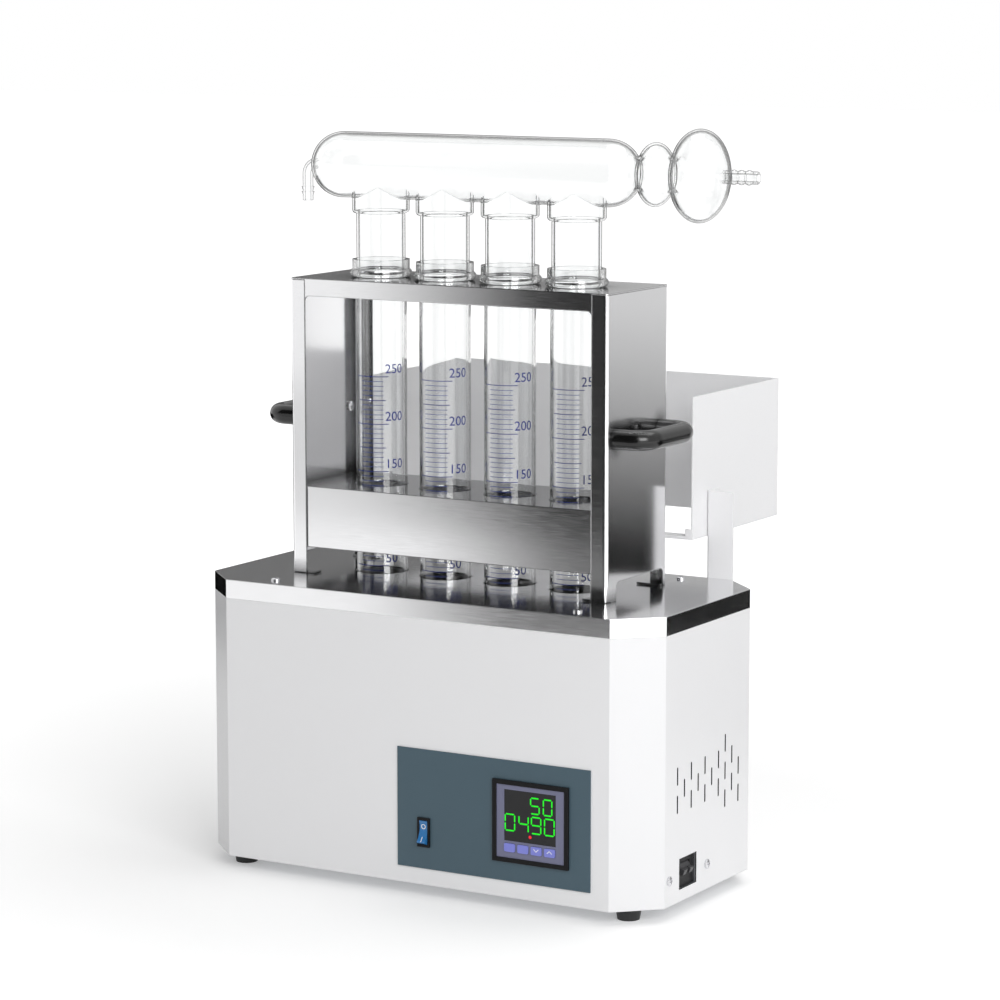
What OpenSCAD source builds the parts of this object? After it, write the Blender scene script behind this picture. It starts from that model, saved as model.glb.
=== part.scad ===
// Bench block digester with four tubes, a lift-out tube rack, a glass exhaust manifold
// and a cooling holder behind the cabinet. Millimetres, Z up, front of the cabinet towards -Y.

/* [Cabinet] */
// Width of the cabinet
cabinet_w = 420; // [400:1:460]
// Depth of the cabinet
cabinet_d = 205.6; // [196:0.2:240]
// Height of the white cabinet wall
cabinet_h = 214.6; // [200:0.2:240]
// Width of the corner chamfer along X
chamfer_x = 32.6; // [24:0.2:36]
// Depth of the corner chamfer along Y
chamfer_y = 31; // [24:0.2:34]
// Thickness of the cabinet sheet
wall_t = 1.2; // [1:0.1:2]
// Width of the flange folded in at the top of the wall
wall_flange_w = 24; // [20:0.5:28]
// Thickness of the floor plate
floor_t = 2; // [1.5:0.1:3]
// Height of the stainless cover with its skirt
cover_h = 15.3; // [12:0.1:20]
// Thickness of the stainless sheet of the cover
cover_t = 1.2; // [1:0.1:2]

/* [Feet] */
// Height of a rubber foot
foot_h = 11; // [8:0.5:16]
// Diameter of a foot where it meets the floor plate
foot_top_d = 21.5; // [18:0.5:26]
// Diameter of a foot where it stands
foot_bottom_d = 17.7; // [14:0.1:22]
// Inset of a foot from the side of the cabinet
foot_inset_x = 30.4; // [28:0.2:40]
// Inset of a foot from the front or back of the cabinet
foot_inset_y = 28.8; // [27:0.2:40]

/* [Tubes] */
// Outside diameter of a digestion tube
tube_d = 42; // [38:0.5:44]
// Wall of a digestion tube
tube_t = 1.8; // [1.4:0.1:2.4]
// Length of a digestion tube
tube_l = 300; // [290:1:306]
// How far the tubes stand below the cover, in the heating block
well_in = 43.2; // [38:0.2:50]
// Distance between two tubes
tube_pitch = 60.8; // [58:0.2:64]
// Sideways place of the middle of the tube row
tube_row_x = -1.7; // [-4:0.1:4]
// Place of the tube row along the depth
tube_row_y = 1.4; // [-2:0.1:4]
// Reach of the bead that hangs a tube in the rack, outside the tube
bead_out = 4.5; // [3.5:0.1:6]
// Height of that bead
bead_h = 6.6; // [5:0.1:8]
// Reach of the mouth above the bead, outside the tube
mouth_out = 2.5; // [2:0.1:3.4]
// Height of the mouth above the bead
mouth_h = 7.5; // [6:0.1:10]

/* [Rack] */
// Width of the tube rack
rack_w = 294.2; // [280:0.2:310]
// Depth of the tube rack
rack_d = 100.9; // [92:0.1:108]
// Sideways place of the rack
rack_x = -4.6; // [-6:0.1:2]
// Place of the rack along the depth
rack_y = 6; // [3:0.1:7]
// Thickness of the rack sheet
rack_t = 1.2; // [1:0.1:2]
// Radius of the rack's folded upright corners
rack_r = 3.6; // [3:0.1:6]
// Width of the stiles and of the top band
stile_w = 14.4; // [12:0.2:18]
// Height of the shelf's upper face above the cover
shelf_z = 72.1; // [66:0.1:80]
// Height of the folded bands of the shelf
band_h = 50.3; // [40:0.1:54]
// Height of the arches in the side panels
arch_h = 14.3; // [10:0.1:18]
// Width of a side leg at the front
leg_front_w = 16; // [12:0.5:20]
// Width of a side leg at the back
leg_back_w = 6.5; // [6:0.5:12]

/* [Handles] */
// Thickness of the handle bar
grip_d = 16; // [14:0.5:18]
// Distance between the two arms of a handle
grip_span = 74; // [66:0.5:78]
// Reach of the grip's middle from the side panel
grip_reach = 26.6; // [26:0.2:34]
// Height of the handles above the cover
grip_z = 128; // [120:0.5:140]

/* [Manifold] */
// Outside diameter of the manifold body
duct_d = 54; // [50:0.5:58]
// Wall of the manifold glass
duct_t = 2.2; // [1.8:0.1:2.6]
// Height of the manifold's axis above the rack
duct_z = 90.1; // [86:0.1:96]
// Length of the body left of the first tube's axis, up to its round end
duct_left = 35; // [30:0.5:42]
// Length of the body right of the last tube's axis, up to its round end
duct_right = 28.4; // [26:0.2:36]
// Reach of the skirts under the body, outside the stems
skirt_out = 3.5; // [2.5:0.1:4.5]
// Distance of the skirts' lower end below the axis
skirt_drop = 38.4; // [34:0.2:44]
// How much thinner than the tubes the stems are on each side
stem_in = 1; // [0.8:0.1:2]
// Diameter of the first bulb
bulb_1_d = 50.6; // [44:0.2:54]
// Half thickness of the first bulb
bulb_1_half = 12.8; // [11.5:0.1:15]
// Diameter of the second bulb
bulb_2_d = 73.2; // [66:0.2:80]
// Half thickness of the second bulb
bulb_2_half = 20.3; // [18:0.1:24]
// Outside diameter of the necks between body and bulbs
neck_d = 26; // [22:0.5:30]
// Outside diameter of the hose barb
barb_d = 10.3; // [9.5:0.1:12]
// Length of the hose barb
barb_l = 30; // [26:0.5:36]
// Outside diameter of the elbow nozzle
nozzle_d = 8.9; // [8:0.1:10]
// Distance of the nozzle's end below the axis
nozzle_drop = 30.4; // [26:0.2:36]

/* [Cooling holder] */
// Distance of the holder's sides from the cabinet's sides
holder_inset = 55.5; // [50:0.5:57]
// Front edge of the holder, measured from the middle of the cabinet
holder_front_y = 78; // [74:0.5:88]
// Depth of the holder
holder_d = 155.5; // [140:0.5:170]
// Height of the holder's lower edge above the cover
holder_z = 34.1; // [28:0.1:40]
// Height of the holder's plates
holder_h = 116.3; // [100:0.1:130]
// Thickness of the holder sheet
holder_t = 1.5; // [1.2:0.1:2]
// Width of an upright's front leaf
upright_w = 24; // [20:0.5:28]
// Depth of an upright's side leaf
upright_d = 20; // [16:0.5:24]
// Height of the uprights above the cover
upright_up = 71.5; // [64:0.5:80]
// Reach of the uprights down the back of the cabinet
upright_down = 82; // [70:1:100]

/* [Front panel] */
// Left edge of the panel, measured from the right side of the cabinet
panel_x = 223.5; // [218:0.5:230]
// Lower edge of the panel, measured from the bottom of the wall
panel_z = 13.6; // [10:0.1:20]
// Width of the panel
panel_w = 175.1; // [172:0.1:184]
// Height of the panel
panel_h = 96.7; // [94:0.1:110]
// Thickness of the panel
panel_t = 1; // [0.8:0.1:1.5]
// Left edge of the controller in the panel
controller_x = 88.5; // [84:0.5:92]
// Lower edge of the controller in the panel
controller_z = 15.6; // [12:0.1:20]
// Width of the controller
controller_w = 68.1; // [66:0.1:72]
// Height of the controller
controller_h = 65.6; // [64:0.1:70]
// Depth of the controller behind the panel
controller_d = 70; // [60:1:72]
// Left edge of the heat switch in the panel
switch_x = 19.2; // [15:0.1:25]
// Lower edge of the heat switch in the panel
switch_z = 17.8; // [14:0.1:24]
// Width of the heat switch
switch_w = 11.2; // [10.6:0.1:13]
// Height of the heat switch
switch_h = 23.7; // [23:0.1:26]
// Tilt of the heat switch's rocker at rest
rocker_tilt = 14; // [10:0.5:15]

/* [Mains breaker] */
// Middle of the breaker along the depth
breaker_y = -33.1; // [-40:0.1:-26]
// Lower edge of the breaker's cut-out above the bottom of the wall
breaker_z = 9.8; // [8:0.1:16]
// Width of the breaker's cut-out
breaker_w = 29.2; // [27:0.1:31]
// Height of the breaker's cut-out
breaker_h = 24.7; // [24:0.1:27]
// Distance between the two bracket screws
breaker_screw_pitch = 63.9; // [60:0.1:68]

/* [Vents] */
// Length of a vent slot
vent_l = 14.5; // [10:0.5:16]
// Width of a vent slot
vent_w = 2; // [1.6:0.1:3]
// Distance between two columns of slots
vent_pitch_y = 11.65; // [11:0.05:12]
// Height step between two rows of slots
vent_pitch_z = 11.25; // [11:0.05:12]
// First column of slots, measured from the middle of the cabinet
vent_y = -51.5; // [-54:0.5:-48]
// Lowest row of slots above the bottom of the wall
vent_z = 67.3; // [60:0.1:80]

/* [Heater] */
// Width of the heating block beyond the outer wells' axes
block_end = 30; // [28:1:36]
// Depth of the heating block
block_d = 64; // [60:1:72]
// Metal under the wells
block_under = 24; // [22:1:30]
// Thickness of the insulation round the block
jacket_t = 22; // [16:1:28]
// Diameter of a cartridge heater
heater_d = 10; // [8:0.5:12]
// Distance between the two cartridge heaters
heater_pitch = 34; // [30:1:38]
// Diameter of the thermocouple
probe_d = 4; // [3:0.5:5]

/* [Hidden] */
$fn = 64;

// Clearances and the overrun that every cut shares
over = 1;
rest_gap = 0.3;
fit = 0.4;
slide_fit = 0.25;
pin_fit = 0.06;

// Widths and heights that follow the tubes and the cabinet
bead_d = tube_d + 2 * bead_out;
mouth_d = tube_d + 2 * mouth_out;
stem_d = tube_d - 2 * stem_in;
skirt_d = stem_d + 2 * skirt_out;
rack_h = tube_l - well_in - mouth_h - bead_h - rest_gap;
holder_w = cabinet_w - 2 * holder_inset;

// Heights from the bench
wall_z = foot_h;
skirt_z = wall_z + cabinet_h;
cover_z = skirt_z + cover_h;
rack_z = cover_z + rest_gap;
rack_top = cover_z + rack_h;
bead_z = rack_top + rest_gap;
mouth_z = bead_z + bead_h;
tube_top = mouth_z + mouth_h;
tube_bottom = tube_top - tube_l;
axis_z = rack_top + duct_z;

// Faces of the cabinet
front_y = -cabinet_d / 2;
back_y = cabinet_d / 2;
side_x = cabinet_w / 2;

// Screw sizes
small_d = 4;
small_head_d = 7.4;
small_head_h = 2.4;
large_d = 5;
large_head_d = 9;
large_head_h = 3;
socket_share = 0.5;
cross_l_share = 0.58;
cross_w_share = 0.16;
cross_in_share = 0.5;

// Places of the cover's screws, inset from its sides and from its front and back
cover_screw_inset_x = 70;
cover_screw_inset_y = 16.8;
standoff_d = 9;
standoff_grip = 8;

// Digestion tubes
stem_fit = 0.5;
seat_t = 0.2;
tube_hole_fit = 0.8;
mouth_bore = stem_d + 2 * stem_fit;
mouth_bore_l = bead_h + mouth_h - seat_t;
tube_hole_d = tube_d + 2 * tube_hole_fit;

// Shelf, legs and foot tabs of the rack
window_r = 4;
window_r_share = 0.7;
arch_r = 5;
tab_w = 22;
tab_d = 10;
tab_t = 1.5;

// Handles
grip_r = 14;
handle_hole_l = 18;

// Exhaust manifold
first_x = tube_x(0);
last_x = tube_x(3);
end_x = last_x + duct_right;
neck_1_l = 7;
neck_2_l = 8.5;
neck_set = sqrt(pow(duct_d / 2, 2) - pow(neck_d / 2, 2));
bulb_1_set = bulb_1_half * sqrt(1 - pow(neck_d / bulb_1_d, 2));
bulb_2_set = bulb_2_half * sqrt(1 - pow(neck_d / bulb_2_d, 2));
bulb_1_x = end_x + neck_set + neck_1_l + bulb_1_set;
bulb_2_x = bulb_1_x + bulb_1_set + neck_2_l + bulb_2_set;
barb_x = bulb_2_x + bulb_2_half;
barb_tip_x = barb_x + barb_l;
barb_bore = 6.4;
barb_bump = 0.9;
barb_bump_r = 2.4;
barb_bump_gap = 6.5;
barb_first = 9;
barb_bumps = 3;
barb_tip_r = 1;
waist_r = 4;
skirt_r = 3;
skirt_t = 2.2;
nozzle_bore = 5;
nozzle_bend = 8.6;
nozzle_ridge = 1.1;
nozzle_ridge_l = 3.2;
nozzle_ridge_gap = 4.1;
nozzle_ridge_drop = 19.1;
nozzle_x = first_x - duct_left - duct_d / 2 - nozzle_bend;

// Cooling holder
lip_h = 2.7;
lip_d = 12;
lip_tab_w = 6.8;
lip_tab_h = 8.6;
holder_z0 = cover_z + holder_z;
holder_back_y = holder_front_y + holder_d;
upright_r = 2.5;
leaf_screw_share = 0.58;
holder_screw_shares = [0.3, 0.75];
upright_screw_shares = [0.48, 0.8];

// Panel, controller and keys
panel_left = side_x - panel_x;
bezel_w = 3.6;
bezel_out = 2;
face_set = 0.8;
case_gap = 4;
screen_x = 10.5;
screen_z = 17.2;
screen_w = 46.3;
screen_h = 41;
screen_set = 0.2;
key_x = 10.7;
key_z = 8.5;
key_w = 9.6;
key_h = 6.7;
key_pitch = 12;
key_out = 0.7;
key_travel = 0.6;
key_r = 1.2;

// Heat switch
frame_out = 1.6;
rocker_r = 9.6;
rocker_w = 7.2;
rocker_dish_r = 16;
rocker_waist = 1.5;
rocker_back = 4;
rocker_mid = rocker_dish_r + rocker_waist;
rocker_tip = (pow(rocker_mid, 2) + pow(rocker_r, 2) - pow(rocker_dish_r, 2)) / (2 * rocker_mid);
rocker_front = rocker_r * sin(asin(rocker_tip / rocker_r) + rocker_tilt);
rocker_pin_d = 2.4;
rocker_pin_l = 0.8;
switch_body_h = 21.4;
switch_body_w = 10;
switch_body_d = 22;

// Mains breaker
breaker_body_w = 35.6;
breaker_body_d = 58;
breaker_edge = 4.6;
breaker_screw_up = 11;
toggle_axis_in = 4.7;
toggle_r = 5;
toggle_up = 15;
toggle_w = 15.4;
toggle_lever_l = 8.4;
toggle_lever_w = 5;
toggle_lever_h = 4.2;
toggle_tie_l = 6.2;
toggle_tie_h = 2;
toggle_tilt = 20;
toggle_pin_d = 3;
toggle_pin_l = 1.2;
bracket_t = 1.5;
bracket_end = 5;
bracket_depth = 24;

// Cord gland at the back
gland_d = 15;
gland_flange_d = 22;
gland_out = 14;
gland_in = 12;
gland_nut_h = 5;
gland_bore = 7.4;
gland_side = 70;
gland_x = side_x - gland_side;
gland_up = 28;

// Rows of vent slots in each column, counted from the lowest row
vent_rows = [[1, 3], [2], [1, 3], [2], [1, 3], [2], [1, 3], [0, 2, 4], [1, 3], [0, 2]];

// Heating block in its jacket
well_fit = 1.2;
well_under = 1;
block_sink = 0.4;
block_top = cover_z - cover_t - block_sink;
block_bottom = tube_bottom - well_under - block_under;
heater_up = 11;
heater_out = 8;
rod_fit = 0.05;
jacket_side = 16;
jacket_under = 20;
jacket_bottom = block_bottom - jacket_under;
stand_t = 2;
stand_w = 40;
stand_flange = 18;
stand_inset = 30;
probe_in = 34;
probe_up = 25;

// Power parts on the floor
sink_w = 50;
sink_d = 60;
sink_base_t = 5;
sink_fin_t = 2;
sink_fin_h = 18;
sink_fins = 6;
sink_room_share = 0.53079;
sink_room = side_x + first_x - block_end + stand_inset - stand_w / 2 - sink_w;
sink_x = -side_x + sink_room_share * sink_room + sink_w / 2;
sink_y = -30;
relay_w = 45;
relay_d = 58;
relay_h = 23;
relay_pad_h = 3;
relay_screw_d = 6;
strip_w = 84;
strip_d = 22;
strip_h = 12;
strip_wall = 2;
strip_ways = 7;
strip_x = 20;
strip_y = 74;

// Middle of the whole object's outline, which is the origin
mid_x = (barb_tip_x - side_x) / 2;
mid_y = (holder_back_y + front_y - panel_t - rocker_front) / 2;

function tube_x(i) = tube_row_x + (i - 1.5) * tube_pitch;

// Cabinet

module octagon(w, d, inset = 0) {
    x = w / 2 - inset;
    y = d / 2 - inset;
    slope = sqrt(pow(chamfer_x, 2) + pow(chamfer_y, 2));
    cx = chamfer_x - inset * (chamfer_x + chamfer_y - slope) / chamfer_y;
    cy = chamfer_y - inset * (chamfer_x + chamfer_y - slope) / chamfer_x;
    polygon([[x - cx, -y], [x, -y + cy], [x, y - cy], [x - cx, y],
        [-x + cx, y], [-x, y - cy], [-x, -y + cy], [-x + cx, -y]]);
}

module vent_field(side) {
    for (column = [0 : len(vent_rows) - 1], row = vent_rows[column])
        translate([side * side_x, vent_y + column * vent_pitch_y, wall_z + vent_z + row * vent_pitch_z])
            rotate([0, 90, 0])
                linear_extrude(height = 2 * wall_t + 2 * over, center = true)
                    slot_outline(vent_l, vent_w);
}

module slot_outline(l, w) {
    square([l - w, w], center = true);
    for (end = [-1, 1])
        translate([end * (l - w) / 2, 0])
            circle(d = w);
}

module cover_screw_places() {
    for (x = [-1, 1], y = [-1, 1])
        translate([x * (side_x - cover_screw_inset_x), y * (back_y - cover_screw_inset_y)])
            children();
}

module foot_places() {
    for (x = [-1, 1], y = [-1, 1])
        translate([x * (side_x - foot_inset_x), y * (back_y - foot_inset_y)])
            children();
}

module cabinet_shell() {
    color("white")
    difference() {
        translate([0, 0, wall_z])
            linear_extrude(height = cabinet_h)
                octagon(cabinet_w, cabinet_d);
        translate([0, 0, wall_z - over])
            linear_extrude(height = cabinet_h - wall_t + over)
                octagon(cabinet_w, cabinet_d, wall_t);
        translate([0, 0, wall_z])
            linear_extrude(height = cabinet_h + over)
                octagon(cabinet_w, cabinet_d, wall_flange_w);
        translate([0, 0, skirt_z - wall_t - over])
            cover_screw_places()
                cylinder(d = small_d + fit, h = wall_t + 2 * over);
        vent_field(1);
        vent_field(-1);
        controller_hole(wall_t);
        switch_hole(wall_t);
        breaker_hole();
        breaker_screw_places()
            cylinder(d = small_d + fit, h = 2 * wall_t + 2 * over, center = true);
        translate([gland_x, back_y, wall_z + gland_up])
            rotate([90, 0, 0])
                cylinder(d = gland_d + fit, h = 2 * wall_t + 2 * over, center = true);
        upright_screw_places(1)
            cylinder(d = small_d + fit, h = 2 * wall_t + 2 * over, center = true);
        upright_screw_places(-1)
            cylinder(d = small_d + fit, h = 2 * wall_t + 2 * over, center = true);
    }
}

module base_plate() {
    color("gainsboro")
    difference() {
        translate([0, 0, wall_z])
            linear_extrude(height = floor_t)
                octagon(cabinet_w, cabinet_d, wall_t);
        translate([0, 0, wall_z - over])
            foot_places()
                cylinder(d = small_d + fit, h = floor_t + 2 * over);
    }
}

module feet() {
    color("#1b1b1c")
    foot_places()
        difference() {
            cylinder(d1 = foot_bottom_d, d2 = foot_top_d, h = foot_h);
            translate([0, 0, -over])
                cylinder(d = small_head_d + fit, h = foot_h / 2 + over);
            cylinder(d = small_d + fit, h = foot_h + over);
        }
}

module foot_screws() {
    color("silver")
    translate([0, 0, foot_h / 2])
        foot_places() {
            translate([0, 0, -small_head_h])
                cylinder(d = small_head_d, h = small_head_h);
            cylinder(d = small_d, h = foot_h / 2 + 2 * floor_t);
        }
}

module top_cover() {
    color("lightgray")
    difference() {
        translate([0, 0, skirt_z])
            linear_extrude(height = cover_h)
                octagon(cabinet_w, cabinet_d);
        translate([0, 0, skirt_z - over])
            linear_extrude(height = cover_h - cover_t + over)
                octagon(cabinet_w, cabinet_d, cover_t);
        for (i = [0 : 3])
            translate([tube_x(i), tube_row_y, cover_z - cover_t - over])
                cylinder(d = tube_hole_d, h = cover_t + 2 * over);
        translate([0, 0, cover_z - cover_t - over])
            cover_screw_places()
                cylinder(d = small_d + fit, h = cover_t + 2 * over);
    }
}

module cover_screws() {
    color("silver")
    translate([0, 0, cover_z])
        cover_screw_places() {
            socket_head(small_head_d, small_head_h);
            translate([0, 0, -cover_t - standoff_grip])
                cylinder(d = small_d, h = cover_t + standoff_grip + over);
        }
}

// Hexagonal pillars that carry the cover on the wall's flange
module cover_standoffs() {
    color("silver")
    translate([0, 0, skirt_z])
        cover_screw_places()
            difference() {
                cylinder(d = standoff_d, h = cover_h - cover_t, $fn = 6);
                translate([0, 0, -over])
                    cylinder(d = small_d + fit, h = cover_h + over);
            }
}

module socket_head(d, h) {
    difference() {
        intersection() {
            cylinder(d = d, h = h);
            translate([0, 0, h - d])
                sphere(r = d);
        }
        translate([0, 0, h / 3])
            cylinder(d = d * socket_share, h = h, $fn = 6);
    }
}

// Domed head with a cross recess, on its shank
module pan_screw(d, head_d, head_h, l) {
    difference() {
        intersection() {
            cylinder(d = head_d, h = head_h);
            translate([0, 0, head_h - head_d])
                sphere(r = head_d);
        }
        for (size = [[cross_l_share, cross_w_share], [cross_w_share, cross_l_share]])
            translate([0, 0, head_h * (1 - cross_in_share)])
                linear_extrude(height = head_h)
                    square(head_d * size, center = true);
    }
    translate([0, 0, -l])
        cylinder(d = d, h = l);
}

// Front panel

module on_panel(x, z) {
    translate([panel_left + x, front_y - panel_t, wall_z + panel_z + z])
        children();
}

module controller_hole(t) {
    on_panel(controller_x + case_gap - fit, controller_z + case_gap - fit)
        translate([0, -over, 0])
            cube([controller_w - 2 * case_gap + 2 * fit, panel_t + t + 2 * over,
                controller_h - 2 * case_gap + 2 * fit]);
}

module switch_hole(t) {
    on_panel(switch_x + (switch_w - switch_body_w) / 2, switch_z + (switch_h - switch_body_h) / 2)
        translate([-fit / 2, -over, -fit / 2])
            cube([switch_body_w + fit, panel_t + t + 2 * over, switch_body_h + fit]);
}

module front_panel() {
    color("#4b5d66")
    difference() {
        on_panel(0, 0)
            cube([panel_w, panel_t, panel_h]);
        controller_hole(wall_t);
        switch_hole(wall_t);
    }
}

module controller_bezel() {
    color("#161616")
    on_panel(controller_x, controller_z)
        difference() {
            translate([0, -bezel_out, 0])
                cube([controller_w, bezel_out, controller_h]);
            translate([bezel_w, -bezel_out - over, bezel_w])
                cube([controller_w - 2 * bezel_w, bezel_out + 2 * over, controller_h - 2 * bezel_w]);
        }
}

module controller_face() {
    color("#6e708a")
    on_panel(controller_x, controller_z)
        difference() {
            translate([bezel_w, face_set - bezel_out, bezel_w])
                cube([controller_w - 2 * bezel_w, bezel_out - face_set, controller_h - 2 * bezel_w]);
            translate([screen_x, -bezel_out, screen_z])
                cube([screen_w, bezel_out + over, screen_h]);
            for (i = [0 : 3])
                key_solid(i, slide_fit, over);
        }
}

module display_window() {
    color("#202020")
    on_panel(controller_x, controller_z)
        translate([screen_x, face_set + screen_set - bezel_out, screen_z])
            cube([screen_w, bezel_out - face_set - screen_set, screen_h]);
}

module key_solid(i, grow, more) {
    translate([key_x + i * key_pitch, face_set - bezel_out - key_out - more, key_z])
        rotate([-90, 0, 0])
            mirror([0, 1, 0])
                linear_extrude(height = key_out + bezel_out - face_set - key_travel - fit / 2 + 2 * more)
                    rounded([key_w, key_h], key_r, grow);
}

module rounded(size, r, grow = 0) {
    for (x = [r, size[0] - r], y = [r, size[1] - r])
        translate([x, y])
            circle(r = r + grow);
    translate([r, -grow])
        square([size[0] - 2 * r, size[1] + 2 * grow]);
    translate([-grow, r])
        square([size[0] + 2 * grow, size[1] - 2 * r]);
}

module key(i) {
    color("#7f86d8")
    on_panel(controller_x, controller_z)
        key_solid(i, 0, 0);
}

module controller_case() {
    color("#2a2a2c")
    on_panel(controller_x + case_gap, controller_z + case_gap)
        cube([controller_w - 2 * case_gap, controller_d, controller_h - 2 * case_gap]);
}

// Heat switch

module on_rocker_axis() {
    on_panel(switch_x + switch_w / 2, switch_z + switch_h / 2)
        children();
}

module heat_switch_frame() {
    color("#151515")
    on_rocker_axis()
        difference() {
            union() {
                translate([-switch_w / 2, -frame_out, -switch_h / 2])
                    cube([switch_w, frame_out, switch_h]);
                translate([-switch_body_w / 2, 0, -switch_body_h / 2])
                    cube([switch_body_w, switch_body_d, switch_body_h]);
            }
            rotate([0, 90, 0])
                cylinder(r = rocker_r + slide_fit, h = rocker_w + 2 * slide_fit, center = true);
            translate([-rocker_w / 2 - slide_fit, -frame_out - over, -rocker_r - slide_fit])
                cube([rocker_w + 2 * slide_fit, frame_out + over, 2 * rocker_r + 2 * slide_fit]);
            rotate([0, 90, 0])
                cylinder(d = rocker_pin_d + 2 * pin_fit,
                    h = rocker_w + 2 * rocker_pin_l + slide_fit, center = true);
        }
}

module heat_switch_rocker() {
    color("#2f74ad")
    on_rocker_axis()
        rotate([-rocker_tilt, 0, 0])
            rotate([0, 90, 0]) {
                linear_extrude(height = rocker_w, center = true)
                    rocker_outline();
                cylinder(d = rocker_pin_d, h = rocker_w + 2 * rocker_pin_l, center = true);
            }
}

// Outline across the rocker: a drum whose front is dished and whose back is cut flat
module rocker_outline() {
    difference() {
        circle(r = rocker_r);
        translate([0, -rocker_dish_r - rocker_waist])
            circle(r = rocker_dish_r);
        translate([-rocker_r - over, rocker_back])
            square([2 * rocker_r + 2 * over, rocker_r]);
    }
}

// Mains breaker in the right wall

module on_breaker() {
    translate([side_x, breaker_y, wall_z + breaker_z])
        children();
}

module breaker_hole() {
    on_breaker()
        translate([-wall_t - bracket_t - over, -breaker_w / 2, 0])
            cube([wall_t + bracket_t + 2 * over, breaker_w, breaker_h]);
}

module breaker_screw_places() {
    for (end = [-1, 1])
        on_breaker()
            translate([0, end * breaker_screw_pitch / 2, breaker_screw_up])
                rotate([0, 90, 0])
                    children();
}

module power_switch_body() {
    color("#1d1d1e")
    difference() {
        on_breaker()
            translate([-wall_t - bracket_t - breaker_body_d, -breaker_body_w / 2, -breaker_edge])
                cube([breaker_body_d, breaker_body_w, breaker_h + 2 * breaker_edge]);
        on_toggle() {
            rotate([-90, 0, 0])
                cylinder(r = toggle_r + slide_fit, h = toggle_w + 2 * slide_fit, center = true);
            translate([0, -toggle_w / 2 - slide_fit, -toggle_r - slide_fit])
                cube([toggle_axis_in + over, toggle_w + 2 * slide_fit, 2 * toggle_r + 2 * slide_fit]);
            rotate([-90, 0, 0])
                cylinder(d = toggle_pin_d + 2 * pin_fit,
                    h = toggle_w + 2 * toggle_pin_l + slide_fit, center = true);
        }
    }
}

module on_toggle() {
    on_breaker()
        translate([-wall_t - bracket_t - toggle_axis_in, 0, toggle_up])
            children();
}

// Two levers on one drum, tied so that both poles switch together
module power_switch_toggle() {
    color("#4a4a4d")
    on_toggle()
        rotate([0, toggle_tilt, 0]) {
            rotate([-90, 0, 0]) {
                cylinder(r = toggle_r, h = toggle_w, center = true);
                cylinder(d = toggle_pin_d, h = toggle_w + 2 * toggle_pin_l, center = true);
            }
            for (low_y = [-toggle_w / 2, toggle_w / 2 - toggle_lever_w])
                translate([0, low_y, -toggle_lever_h / 2])
                    cube([toggle_lever_l, toggle_lever_w, toggle_lever_h]);
            translate([0, -toggle_w / 2, -toggle_tie_h / 2])
                cube([toggle_tie_l, toggle_w, toggle_tie_h]);
        }
}

module power_switch_bracket() {
    reach = breaker_screw_pitch + 2 * bracket_end;
    bracket_h = breaker_h + 2 * breaker_edge;
    color("silver")
    difference() {
        on_breaker() {
            translate([-wall_t - bracket_t, -reach / 2, -breaker_edge])
                cube([bracket_t, reach, bracket_h]);
            for (end = [-1, 1])
                translate([-wall_t - bracket_depth, end * (breaker_body_w + bracket_t) / 2 - bracket_t / 2,
                    -breaker_edge])
                    cube([bracket_depth, bracket_t, bracket_h]);
        }
        breaker_hole();
        breaker_screw_places()
            cylinder(d = small_d + fit, h = 2 * (wall_t + bracket_t + over), center = true);
    }
}

module power_switch_screws() {
    color("silver")
    breaker_screw_places()
        pan_screw(small_d, small_head_d, small_head_h, wall_t + 2 * bracket_t);
}

module cord_gland() {
    color("#202020")
    translate([gland_x, back_y, wall_z + gland_up])
        rotate([-90, 0, 0])
            difference() {
                union() {
                    translate([0, 0, -gland_in])
                        cylinder(d = gland_d, h = gland_in);
                    cylinder(d = gland_flange_d, h = gland_out / 3, $fn = 6);
                    cylinder(d1 = gland_d + wall_t, d2 = gland_d - 2 * wall_t, h = gland_out);
                }
                translate([0, 0, -gland_in - over])
                    cylinder(d = gland_bore, h = gland_in + gland_out + 2 * over);
            }
    color("#202020")
    translate([gland_x, back_y - wall_t, wall_z + gland_up])
        rotate([90, 0, 0])
            difference() {
                cylinder(d = gland_flange_d, h = gland_nut_h, $fn = 6);
                translate([0, 0, -over])
                    cylinder(d = gland_d + 2 * pin_fit, h = gland_nut_h + 2 * over);
            }
}

// Heating block, its jacket and its stand

module block_space(x_more, y_more, low, high) {
    x0 = first_x - block_end - x_more;
    x1 = last_x + block_end + x_more;
    translate([x0, tube_row_y - block_d / 2 - y_more, low])
        cube([x1 - x0, block_d + 2 * y_more, high - low]);
}

module heater_places() {
    for (end = [-1, 1])
        translate([last_x + block_end, tube_row_y + end * heater_pitch / 2, block_bottom + heater_up])
            rotate([0, -90, 0])
                children();
}

module probe_place() {
    translate([last_x + block_end, tube_row_y, block_bottom + probe_up - heater_up])
        rotate([0, -90, 0])
            children();
}

module heating_block() {
    well_d = tube_d + 2 * well_fit;
    color("#a9a9ab")
    difference() {
        block_space(0, 0, block_bottom, block_top);
        for (i = [0 : 3])
            translate([tube_x(i), tube_row_y, tube_bottom - well_under + well_d / 2]) {
                sphere(d = well_d);
                cylinder(d = well_d, h = block_top);
            }
        heater_places()
            translate([0, 0, -over])
                cylinder(d = heater_d + 2 * rod_fit, h = last_x - first_x + 2 * block_end + 2 * over);
        probe_place()
            translate([0, 0, -over])
                cylinder(d = probe_d + 2 * rod_fit, h = probe_in + over);
    }
}

module heater_rods() {
    color("#8c8c8e")
    heater_places()
        translate([0, 0, -heater_out])
            cylinder(d = heater_d, h = last_x - first_x + 2 * block_end + heater_out);
}

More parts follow.
